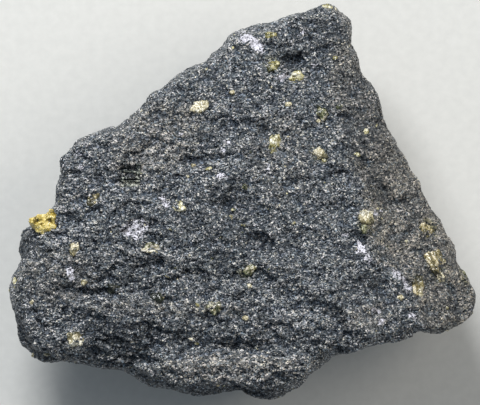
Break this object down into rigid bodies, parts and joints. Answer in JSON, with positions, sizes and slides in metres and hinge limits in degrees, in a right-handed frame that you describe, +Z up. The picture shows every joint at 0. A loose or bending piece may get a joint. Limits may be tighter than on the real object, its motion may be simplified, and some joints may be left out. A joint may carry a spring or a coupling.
{
  "type": "olivine basalt specimen",
  "caption": "Broken hand-sized block of dark olivine basalt that lies flat on its back, with yellow-green crystals set in its faces and a crystal cluster at one end.",
  "frame": {"origin": "middle of the underside of the bounding box, level with the flat spot that the block rests on", "axes": "+X along the longest side towards the blunt right end of the pictured face, +Y towards its pointed top, +Z up out of that face"},
  "size_m": [0.0746, 0.0632, 0.033],
  "materials": {
    "basalt": "rough broken groundmass, blue-black with fine pale and frosted grains, warmer brown-grey on the right-hand face",
    "olivine_yellow": "glassy granular yellow-green crystal",
    "olivine_cream": "bruised cream-yellow crystal",
    "olivine_green": "glassy dark olive-green crystal"
  },
  "bodies": {
    "root": {"basalt_stone": "basalt", "olivine_below_pit": "olivine_yellow", "olivine_centre_left": "olivine_yellow", "olivine_cluster_upper": "olivine_yellow", "olivine_crescent": "olivine_green", "olivine_crest_ledge": "olivine_yellow", "olivine_crest_left": "olivine_yellow", "olivine_diagonal": "olivine_green", "olivine_ledge_dark": "olivine_green", "olivine_left": "olivine_cream", "olivine_left_dark": "olivine_green", "olivine_lower_left": "olivine_cream", "olivine_lower_middle": "olivine_green", "olivine_near_crack": "olivine_yellow", "olivine_nodule": "olivine_yellow", "olivine_ridge_pale": "olivine_cream", "olivine_right_cluster": "olivine_yellow", "olivine_right_edge": "olivine_yellow", "olivine_right_lower": "olivine_yellow", "olivine_side_back": "olivine_green", "olivine_side_front": "olivine_yellow", "olivine_side_front_small": "olivine_green", "olivine_side_left": "olivine_yellow", "olivine_side_right": "olivine_yellow", "olivine_side_upper": "olivine_cream", "olivine_stepped": "olivine_green", "olivine_under_left": "olivine_yellow", "olivine_under_right": "olivine_cream", "olivine_upper_dark": "olivine_green", "olivine_upper_left": "olivine_cream", "olivine_upright": "olivine_yellow"}
  },
  "joints": []
}
